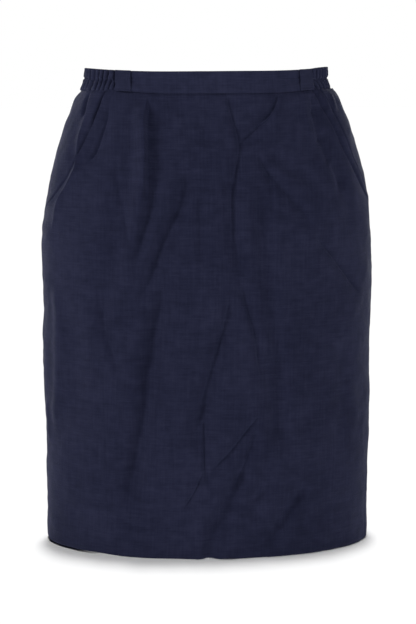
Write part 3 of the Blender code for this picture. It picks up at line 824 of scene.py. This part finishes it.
def thread_material():
    """Twisted sewing thread, a little lighter than the cloth."""
    material = bpy.data.materials.new("thread_look")
    material.use_nodes = True
    tree = material.node_tree
    shader = tree.nodes["Principled BSDF"]
    place = add_node(tree, "ShaderNodeTexCoord").outputs["Object"]
    fibres = noise(tree, scaled(tree, place, 900.0, 900.0), 3.0, 0.6)
    shader.inputs["Specular IOR Level"].default_value = 0.10
    colour = mixed(tree, ranged(tree, fibres, 0.35, 0.65, 0.0, 1.0),
                   (0.011, 0.013, 0.030), (0.018, 0.020, 0.043))
    tree.links.new(colour, shader.inputs["Base Color"])
    tree.links.new(ranged(tree, fibres, 0.3, 0.7, 0.68, 0.84), shader.inputs["Roughness"])
    bump = add_node(tree, "ShaderNodeBump", Strength=0.5, Distance=0.0002)
    tree.links.new(fibres, bump.inputs["Height"])
    tree.links.new(bump.outputs["Normal"], shader.inputs["Normal"])
    return material


def floor_material():
    """A matt white studio floor, very slightly uneven."""
    material = bpy.data.materials.new("floor_look")
    material.use_nodes = True
    tree = material.node_tree
    shader = tree.nodes["Principled BSDF"]
    place = add_node(tree, "ShaderNodeTexCoord").outputs["Object"]
    marks = noise(tree, scaled(tree, place, 3.0, 3.0), 3.0, 0.5)
    colour = mixed(tree, ranged(tree, marks, 0.3, 0.7, 0.0, 1.0), (0.80, 0.80, 0.80), (0.82, 0.82, 0.82))
    tree.links.new(colour, shader.inputs["Base Color"])
    shader.inputs["Roughness"].default_value = 0.95
    shader.inputs["Specular IOR Level"].default_value = 0.0
    return material


LOOKS = {slot: cloth_material(slot) for slot in CLOTHS}
THREAD_LOOK = thread_material()
SKIRT = bpy.data.collections.new("skirt")

# ---- The panels ----

FRONT_COLUMNS = 334
BACK_COLUMNS = 300
HIP_COLUMNS = 84


def panel_drops(top_count, lower_count, roll):
    """Drops of a panel's rows, closer just below the band and at the hem."""
    top = BAND_HEIGHT - SEAM_UP
    upper = np.linspace(top + SEAM_ROLL, 0.070, top_count, endpoint=False)
    hem_top = LENGTH - HEM_DEPTH
    lower = np.linspace(0.070, LENGTH - 0.006, lower_count, endpoint=False)
    lower = lower[np.abs(lower - hem_top) > 0.0012]
    step = [hem_top - 0.0008, hem_top + 0.0008]
    inner = np.sort(np.concatenate([upper, lower, step, np.linspace(LENGTH - 0.006, LENGTH - roll, 4)]))
    return edged(top, LENGTH, inner, SEAM_ROLL, roll)


def panel_wall(drop):
    """Wall of each row, double where the hem is turned up."""
    hem_top = LENGTH - HEM_DEPTH
    turned = eased((np.asarray(drop) - hem_top + 0.0008) / 0.0016)
    return (CLOTH + (HEM_CLOTH - CLOTH) * turned)[:, None]


def top_turn(drop, reach):
    """The cloth's small puff under the band, and its turn in to the seam, slighter at the gathers."""
    down = np.asarray(drop)[:, None] - BAND_HEIGHT
    turn = 0.0026 - 0.0018 * eased((np.abs(reach) - BAND_JOIN) / 0.010)
    side = eased((np.abs(reach) - 0.13) / 0.05)
    puff = (0.0020 - 0.0008 * side) * (1.0 - eased((down - 0.003) / 0.018))
    return puff - turn * (1.0 - eased(down / 0.0034))


def hem_roll(drop, reach):
    """The turned-up hem: a faint step at its top, and a slightly uneven pressed edge."""
    down = np.broadcast_to(np.asarray(drop)[:, None], reach.shape)
    around = np.array([girth(d) for d in drop])[:, None]
    step = 0.00035 * eased((down - (LENGTH - HEM_DEPTH) + 0.002) / 0.004)
    waver = 0.0007 * cloudy(reach / around, down * 0.0 + 0.02, 40, 0.05, 31)
    fold = 0.0012 * eased((down - (LENGTH - 0.0040)) / 0.0040)
    return step + waver * eased((down - (LENGTH - 0.05)) / 0.05) - fold


def by_lip(name, drop):
    """One column of LIPS for rows, none below the pocket's end."""
    values = column(LIPS, name, np.minimum(drop, POCKET_END))
    return np.where(np.asarray(drop) < POCKET_END, values, 0.0)[:, None]


def make_front():
    """The front, cut away at its top corners for the pockets."""
    drop = panel_drops(20, 212, HEM_CLOTH / 2)
    reach = []
    for d in drop:
        start, end = front_edge(-1, d), front_edge(1, d)
        inner = packed_columns(start + SEAM_ROLL, end - SEAM_ROLL, d, FRONT_COLUMNS)
        reach.append(edged(start, end, inner, SEAM_ROLL, SEAM_ROLL))
    reach = np.array(reach)
    rise = relief(drop, reach) + top_turn(drop, reach) + hem_roll(drop, reach)
    for side, edge in ((-1, reach[:, :1]), (1, reach[:, -1:])):
        inside = np.abs(reach - edge)
        rise = rise + by_lip(by_side(side), drop) * eased(1.0 - (inside - 0.002) / LIP_WIDTH)
        beside_lip = eased((POCKET_END - 0.008 - drop) / 0.02)[:, None]
        rise = rise - LIP_GROOVE[side] * beside_lip * np.exp(-(((inside - LIP_WIDTH) / 0.0022) ** 2))
    rolls = Rolls(SEAM_ROLL, HEM_CLOTH / 2 - 0.0001, SEAM_ROLL, SEAM_ROLL)
    return shell("skirt_front", drop, reach, rise, panel_wall(drop), rolls)


ALLOWANCE = 0.0075  # how far the back runs on past its side seams
ALLOWANCE_STEP = 0.0008
ALLOWANCE_AT = np.array([0.0052, 0.0030, 0.0014, 0.0008, 0.0004, 0.0])


def make_back():
    """The back, from side seam to side seam, with the seam allowances that run on under the front."""
    drop = panel_drops(16, 164, HEM_CLOTH / 2)
    reach = []
    under = []
    for d in drop:
        start = seam_reach(1, d) + SEAM_GAP / 2
        end = girth(d) + seam_reach(-1, d) - SEAM_GAP / 2
        inner = np.linspace(start + SEAM_ROLL, end - SEAM_ROLL, BACK_COLUMNS)
        inner = np.concatenate([start - ALLOWANCE_AT, inner, end + ALLOWANCE_AT[::-1]])
        reach.append(edged(start - ALLOWANCE, end + ALLOWANCE, inner, SEAM_ROLL, SEAM_ROLL))
        under.append(eased(np.maximum(start - reach[-1], reach[-1] - end) / ALLOWANCE_STEP))
    reach = np.array(reach)
    rise = relief(drop, reach) + top_turn(drop, reach) + hem_roll(drop, reach)
    rise = rise - (panel_wall(drop) + 0.0009) * np.array(under)
    rolls = Rolls(SEAM_ROLL, HEM_CLOTH / 2 - 0.0001, SEAM_ROLL, SEAM_ROLL)
    return shell("skirt_back", drop, reach, rise, panel_wall(drop), rolls)


def make_hip(name, side):
    """The cloth behind a pocket opening: it meets the side seam and tucks in under the front."""
    top, foot = BAND_HEIGHT - SEAM_UP, POCKET_END + HIP_BELOW
    drop = edged(top, foot, np.linspace(top + SEAM_ROLL, foot - SEAM_ROLL, 96), SEAM_ROLL, SEAM_ROLL)
    reach = []
    for d in drop:
        seam = seam_reach(side, d) - side * SEAM_GAP / 2
        tucked = front_edge(side, d) - side * HIP_TUCK
        start, end = sorted((seam, tucked))
        inner = np.linspace(start + SEAM_ROLL, end - SEAM_ROLL, HIP_COLUMNS)
        reach.append(edged(start, end, inner, SEAM_ROLL, SEAM_ROLL))
    reach = np.array(reach)
    edge = np.array([front_edge(side, d) for d in drop])[:, None]
    shown = (reach - edge) * side
    form = relief(drop, reach)
    under = -(CLOTH + 0.0009) * (1.0 - eased(shown / 0.008))
    sunk = by_lip(by_side(side) + "_sunk", drop)
    gash = -sunk * np.where(shown < 0.0, 1.0, np.exp(-((shown / 0.0032) ** 2)))
    tucked_form = np.minimum(form, calmed(calmed(form)) - 0.0004)
    rise = np.where(shown < 0.0, tucked_form, form) + under + gash + top_turn(drop, reach)
    rolls = Rolls(SEAM_ROLL, SEAM_ROLL, SEAM_ROLL, SEAM_ROLL)
    return shell(name, drop, reach, rise, CLOTH, rolls)


# ---- The waistband ----

RIDGES = 98  # gathered ridges, counted round the whole waist; the casing has 69 of them
RIDGE_HEIGHT = 0.0056
STITCH_DROP = 0.0135  # where a row of stitches holds the elastic


def band_drops(count, roll):
    """Drops of a band's rows."""
    return edged(0.0, BAND_HEIGHT, np.linspace(roll, BAND_HEIGHT - roll, count), roll, roll)


def make_front_band():
    """The flat waistband between the belt loops, a little rumpled near them."""
    roll = BAND_CLOTH / 2 - 0.0001
    drop = band_drops(42, roll)
    end = BAND_JOIN - SEAM_GAP / 2
    columns = edged(-end, end, np.linspace(-end + SEAM_ROLL, end - SEAM_ROLL, 190), SEAM_ROLL, SEAM_ROLL)
    reach = np.tile(columns, (len(drop), 1))
    down = drop[:, None]
    share = reach / girth(0.0)
    soft = 0.0007 * cloudy(share, down, 26, 0.016, 41) + 0.00030 * cloudy(share, down, 70, 0.006, 43)
    near_left = eased((reach - 0.082) / 0.024)
    rumple = -0.0010 * near_left * np.exp(-((down - 0.0105 - 0.03 * (reach - 0.11)) / 0.0022) ** 2)
    rumple = rumple - 0.0008 * near_left * np.exp(-((down - 0.0170) / 0.0018) ** 2)
    near_right = eased((-reach - 0.094) / 0.016)
    rumple = rumple - 0.0006 * near_right * np.exp(-((down - 0.0150) / 0.0022) ** 2)
    line = -0.0007 * np.exp(-((down - 0.0098) / 0.0009) ** 2)
    line = line * eased(0.6 + cloudy(share, down * 0.0, 18, 1.0, 45))
    foot = 0.0004 * np.exp(-((down - 0.0235) / 0.003) ** 2)
    rise = BAND_PROUD + soft + rumple + line + foot
    return shell("band_front", drop, reach, rise, BAND_CLOTH, Rolls(roll, roll, SEAM_ROLL, SEAM_ROLL))


def ridge_phase(share, seed):
    """Phase of the gathered ridges, uneven in pitch, as turns."""
    wander = cloudy(share, share * 0.0, 46, 1.0, seed) * 0.34
    return share * RIDGES + wander


def gathered(phase, seed):
    """Rounded ridges between narrow slits of uneven depth, one a turn of the phase."""
    slit = np.round(phase)
    deep = np.random.default_rng(seed).uniform(0.1, 1.0, RIDGES + 3)[slit.astype(int) % (RIDGES + 3)]
    ridge = np.abs(np.sin(math.pi * phase)) ** 0.6 - 0.62
    return ridge - 1.2 * deep * np.exp(-(((phase - slit) / 0.11) ** 2))


def make_casing():
    """The elastic back waistband: cloth drawn into upright ridges, held by a row of stitches."""
    roll = CASING_CLOTH / 2 - 0.0001
    drop = band_drops(26, roll)
    reach = []
    for d in drop:
        start = BAND_JOIN + SEAM_GAP / 2
        end = girth(d) - start
        inner = np.linspace(start + SEAM_ROLL, end - SEAM_ROLL, 1080)
        reach.append(edged(start, end, inner, SEAM_ROLL, SEAM_ROLL))
    reach = np.array(reach)
    around = np.array([girth(d) for d in drop])[:, None]
    share = reach / around
    down = np.broadcast_to(drop[:, None], reach.shape)
    upper = gathered(ridge_phase(share + 0.04 * down, 51), 54)
    lower = gathered(ridge_phase(share - 0.16 * (down - STITCH_DROP), 52) + 0.35, 55)
    below = eased((down - STITCH_DROP + 0.0025) / 0.005)
    ridges = upper * (1.0 - below) + lower * below
    strength = 0.80 + 0.45 * cloudy(share, down, 60, 0.012, 53)
    fade = eased((np.minimum(reach - BAND_JOIN, around - BAND_JOIN - reach) - 0.0075) / 0.006)
    held = 1.0 - 0.45 * np.exp(-(((down - STITCH_DROP) / 0.0016) ** 2))
    held *= 1.0 - 0.5 * np.exp(-(((down - BAND_HEIGHT) / 0.0030) ** 2))
    crumple = 0.0007 * cloudy(share, down, 190, 0.0055, 56)
    rise = BAND_PROUD + (RIDGE_HEIGHT * ridges * strength * held + crumple) * fade
    rise -= 0.0006 * fade * np.exp(-(((down - STITCH_DROP) / 0.0014) ** 2))
    rise += 0.0032 * np.exp(-(((reach - around + 0.205) / 0.05) ** 2)) * (1.0 - 0.85 * down / BAND_HEIGHT)
    rise -= 0.0050 * np.exp(-(((reach - 0.204) / 0.05) ** 2)) * down / BAND_HEIGHT
    rolls = Rolls(roll, roll, SEAM_ROLL, SEAM_ROLL)
    return shell("band_back", drop, reach, rise, CASING_CLOTH, rolls)


def make_loop(name, side):
    """A belt loop: a folded strip stitched down at both ends and bowed out between them."""
    roll = LOOP_CLOTH / 2 - 0.0001
    drop = edged(-0.0004, LOOP_LENGTH, np.linspace(roll, LOOP_LENGTH - roll, 34), roll, roll)
    inner = np.linspace(-LOOP_WIDTH / 2 + roll, LOOP_WIDTH / 2 - roll, 22)
    columns = side * BAND_JOIN + edged(-LOOP_WIDTH / 2, LOOP_WIDTH / 2, inner, roll, roll)
    reach = np.tile(columns, (len(drop), 1))
    down = drop[:, None]
    across = (reach - side * BAND_JOIN) / (LOOP_WIDTH / 2)
    share = np.clip(down / LOOP_LENGTH, 0.0, 1.0)
    bow = LOOP_BOW * np.sin(math.pi * eased((share - 0.06) / 0.82)) ** 0.8
    bow = bow * (1.0 - 0.18 * across ** 2)
    held = -0.0005 * np.exp(-(((down - 0.0262) / 0.0012) ** 2))
    rumple = 0.00035 * cloudy(reach / 0.8, down, 60, 0.009, 61)
    rise = BAND_PROUD + SEAM_GAP + LOOP_CLOTH + 0.0004 + bow + held + rumple * (1 - share)
    return shell(name, drop, reach, rise, LOOP_CLOTH, Rolls(roll, roll, roll, roll))


# ---- Stitches ----


def stitch_row(name, ends, thick):
    """Short capsules of thread; ends is a list of (start, end, outward) points."""
    around = 6
    rings = [(-0.5, 0.25), (-0.38, 0.9), (0.0, 1.15), (0.38, 0.9), (0.5, 0.25)]
    points, faces = [], []
    for start, end, normal in ends:
        run = np.subtract(end, start)
        side = np.cross(run / np.linalg.norm(run), normal)
        first = len(points)
        for at, size in rings:
            middle = np.asarray(start) + run * (at + 0.5)
            for k in range(around):
                turn = 2.0 * math.pi * k / around
                points.append(middle + (side * math.cos(turn) + np.asarray(normal) * math.sin(turn))
                              * thick / 2 * size)
        for i in range(len(rings) - 1):
            for k in range(around):
                a, b = first + i * around + k, first + i * around + (k + 1) % around
                faces.append((a, a + around, b + around, b))
        faces.append(tuple(first + k for k in range(around)))
        last = first + (len(rings) - 1) * around
        faces.append(tuple(last + around - 1 - k for k in range(around)))
    mesh = bpy.data.meshes.new(name)
    mesh.from_pydata([tuple(p) for p in points], [], faces)
    mesh.shade_smooth()
    piece = bpy.data.objects.new(name, mesh)
    bpy.context.scene.collection.objects.link(piece)
    return piece


def stitch_places(reaches, drops, rises):
    """(start, end, outward) for a stitch between each two neighbouring places, short of both."""
    points = [(bare_points(np.array([r]), d)[0], outward(np.array([r]), d)[0])
              for r, d in zip(reaches, drops)]
    points = [(p + n * h, n) for (p, n), h in zip(points, rises)]
    return [(a[0] * 0.86 + b[0] * 0.14, a[0] * 0.14 + b[0] * 0.86, a[1])
            for a, b in zip(points, points[1:])]


def rise_at(sheet, reach, drop):
    """Height of a laid sheet's surface at one place."""
    row = int(np.clip(np.searchsorted(sheet.drop, drop) - 1, 0, len(sheet.drop) - 2))
    part = (drop - sheet.drop[row]) / (sheet.drop[row + 1] - sheet.drop[row])
    upper = np.interp(reach, sheet.reach[row], sheet.rise[row])
    lower = np.interp(reach, sheet.reach[row + 1], sheet.rise[row + 1])
    return upper * (1.0 - part) + lower * part


def sewn(sheet, reaches, drops, pitch, lift):
    """Stitches of one pitch along a path over a laid sheet."""
    places = [bare_points(np.array([r]), d)[0] for r, d in zip(reaches, drops)]
    run = np.concatenate([[0.0], np.cumsum(np.linalg.norm(np.diff(places, axis=0), axis=1))])
    at = np.arange(0.0, run[-1], pitch)
    reaches, drops = np.interp(at, run, reaches), np.interp(at, run, drops)
    rises = [rise_at(sheet, r, d) + lift for r, d in zip(reaches, drops)]
    return stitch_places(reaches, drops, rises)


def pocket_stitches(side):
    """The row along a pocket's edge, sunk in its groove."""
    drops = np.linspace(BAND_HEIGHT + 0.003, POCKET_END - 0.014, 60)
    reaches = np.array([front_edge(side, d) for d in drops]) - side * LIP_WIDTH
    return sewn(LAID["skirt_front"], reaches, drops, 0.0026, -0.0001)


def casing_stitches():
    """The row that holds the elastic, over the casing's ridges."""
    end = girth(STITCH_DROP) - BAND_JOIN
    reaches = np.linspace(BAND_JOIN + 0.013, end - 0.013, 400)
    return sewn(LAID["band_back"], reaches, np.full(400, STITCH_DROP), 0.0026, 0.0001)


def loop_stitches(side):
    """The row that holds a loop's foot, and the one that holds its top."""
    made = []
    for drop, height in ((0.0262, 0.0030), (0.0030, 0.0036)):
        reaches = side * BAND_JOIN + np.linspace(-0.0085, 0.0085, 8)
        made += stitch_places(reaches, [drop] * len(reaches), [height] * len(reaches))
    return made


# ---- Putting it together ----

PANEL, BAND, LOOP = "panel_cloth", "band_cloth", "loop_cloth"
front = finish_piece(make_front(), LOOKS[PANEL], PANEL, "front_panel")
back = finish_piece(make_back(), LOOKS[PANEL], PANEL, "back_panel")
hip_right = finish_piece(make_hip("hip_right", -1), LOOKS[PANEL], PANEL, "hip_panel_right")
hip_left = finish_piece(make_hip("hip_left", 1), LOOKS[PANEL], PANEL, "hip_panel_left")
band_front = finish_piece(make_front_band(), LOOKS[BAND], BAND, "waistband_front")
band_back = finish_piece(make_casing(), LOOKS[BAND], BAND, "waistband_back")
loop_right = finish_piece(make_loop("loop_right", -1), LOOKS[LOOP], LOOP, "belt_loop_right")
loop_left = finish_piece(make_loop("loop_left", 1), LOOKS[LOOP], LOOP, "belt_loop_left")

pocket_rows = pocket_stitches(-1) + pocket_stitches(1)
panel_thread = finish_piece(stitch_row("pocket_stitches", pocket_rows, 0.0003), THREAD_LOOK, PANEL)
band_thread = finish_piece(stitch_row("casing_stitches", casing_stitches(), 0.0004), THREAD_LOOK, BAND)
loop_rows = loop_stitches(-1) + loop_stitches(1)
loop_thread = finish_piece(stitch_row("loop_stitches", loop_rows, 0.0005), THREAD_LOOK, LOOP)

# ---- Floor, lights and camera ----

# Lamps that light the floor: how far each leans back from overhead, in degrees, and its share.
Overhead = namedtuple("Overhead", "lean share")
OVERHEAD = [
    Overhead(-45.0, 0.44),
    Overhead(1.8, 0.14),
    Overhead(4.0, 0.18),
    Overhead(6.2, 0.14),
    Overhead(8.6, 0.10),
]
FLOOR_LIGHT = 4.6

# Soft boxes that light the skirt: degrees round from its front towards +X, degrees up,
# watts and width. A scratch program fitted the watts to the photo's brightness, and the
# hem strip's too. They were then rounded. The two boxes at the back were set one by
# one.
Box = namedtuple("Box", "name turn height power width")
BOXES = [
    Box("left_box", -67.0, 31.0, 32.0, 0.5),
    Box("right_box", 50.0, 26.0, 13.4, 0.8),
    Box("front_box", 6.0, 36.0, 9.0, 0.9),
    Box("top_box", 6.0, 60.0, 3.8, 0.9),
    Box("low_box", 24.0, -56.0, 1.8, 0.9),
    Box("left_rim", -114.0, 5.0, 6.4, 0.6),
    Box("right_rim", 106.0, 5.0, 1.6, 0.6),
    Box("back_left", 205.0, 15.0, 30.0, 0.9),
    Box("back_right", 145.0, 10.0, 24.0, 0.9),
]
BOX_AIM = (0.0, 0.0, -0.28)
BOX_DISTANCE = 2.6
BOX_HEIGHT = 1.6

# A narrow lamp below the hem's front.
HEM_STRIP_POWER = 0.45
HEM_STRIP_PLACE = (0.0, -0.28, -0.85)
HEM_STRIP_AIM = (0.0, -0.12, -0.60)
HEM_STRIP_WIDTH = 0.5
HEM_STRIP_HEIGHT = 0.06

CAMERA_TURN = -7.0  # degrees round the skirt, towards the wearer's right
CAMERA_DISTANCE = 2.6
CAMERA_PITCH = 6.871  # degrees down
CAMERA_LENS = 115.385  # millimetres, on a sensor 36 mm high
CAMERA_ASIDE = 0.00026  # its shift across the view


def add_floor():
    """The plain floor just below the hem."""
    size = 30.0
    mesh = bpy.data.meshes.new("floor")
    corners = [(-size, -size, 0), (size, -size, 0), (size, size, 0), (-size, size, 0)]
    mesh.from_pydata(corners, [], [(0, 1, 2, 3)])
    mesh.materials.append(floor_material())
    floor = bpy.data.objects.new("floor", mesh)
    floor.location.z = cad_box[0].z - FLOOR_GAP
    bpy.context.scene.collection.objects.link(floor)
    return floor


def around_skirt(turn, height, distance, aim):
    """A place that far from the aim, turned and raised by degrees."""
    turn, height = math.radians(turn), math.radians(height)
    level = distance * math.cos(height)
    return (aim[0] + level * math.sin(turn), aim[1] - level * math.cos(turn),
            aim[2] + distance * math.sin(height))


def add_light(name, kind, energy, place, aim, lit, **settings):
    """A lamp that points from place to aim and lights one collection."""
    light = bpy.data.lights.new(name, kind)
    light.energy = energy
    for key, value in settings.items():
        setattr(light, key, value)
    lamp = bpy.data.objects.new(name, light)
    bpy.context.scene.collection.objects.link(lamp)
    lamp.location = place
    direction = Vector(aim) - Vector(place)
    lamp.rotation_euler = direction.to_track_quat("-Z", "Y").to_euler()
    lamp.light_linking.receiver_collection = lit
    lamp.light_linking.blocker_collection = SKIRT
    return lamp


def add_studio():
    """White surroundings, a soft overhead light for the floor, and soft boxes for the skirt."""
    scene = bpy.context.scene
    scene.view_settings.view_transform = "Standard"
    world = bpy.data.worlds.new("white")
    world.use_nodes = True
    world.node_tree.nodes["Background"].inputs["Color"].default_value = (1.0, 1.0, 1.0, 1.0)
    world.node_tree.nodes["Background"].inputs["Strength"].default_value = 1.0
    scene.world = world
    world.cycles_visibility.diffuse = False
    world.cycles_visibility.glossy = False

    stage = bpy.data.collections.new("stage")
    stage.objects.link(add_floor())
    for number, lamp in enumerate(OVERHEAD):
        aim = (0.0, 0.0, 0.0)
        place = around_skirt(CAMERA_TURN, 90.0 + lamp.lean, 3.0, aim)
        add_light(f"overhead_{number}", "SUN", FLOOR_LIGHT * lamp.share, place, aim, stage,
                  angle=math.radians(4.0))
    for box in BOXES:
        place = around_skirt(box.turn, box.height, BOX_DISTANCE, BOX_AIM)
        add_light(box.name, "AREA", box.power, place, BOX_AIM, SKIRT,
                  shape="RECTANGLE", size=box.width, size_y=BOX_HEIGHT)
    add_light("hem_strip", "AREA", HEM_STRIP_POWER, HEM_STRIP_PLACE, HEM_STRIP_AIM, SKIRT,
              shape="RECTANGLE", size=HEM_STRIP_WIDTH, size_y=HEM_STRIP_HEIGHT)


def add_camera():
    """The camera, level with the waist and looking slightly down."""
    turn = math.radians(CAMERA_TURN)
    data = bpy.data.cameras.new("camera")
    data.sensor_fit = "VERTICAL"
    data.sensor_height = 36.0
    data.lens = CAMERA_LENS
    camera = bpy.data.objects.new("camera", data)
    camera.location = (
        CAMERA_DISTANCE * math.sin(turn) + CAMERA_ASIDE * math.cos(turn),
        -CAMERA_DISTANCE * math.cos(turn) + CAMERA_ASIDE * math.sin(turn),
        0.0,
    )
    camera.rotation_euler = (math.radians(90.0 - CAMERA_PITCH), 0.0, turn)
    bpy.context.scene.collection.objects.link(camera)
    bpy.context.scene.camera = camera


add_studio()
add_camera()
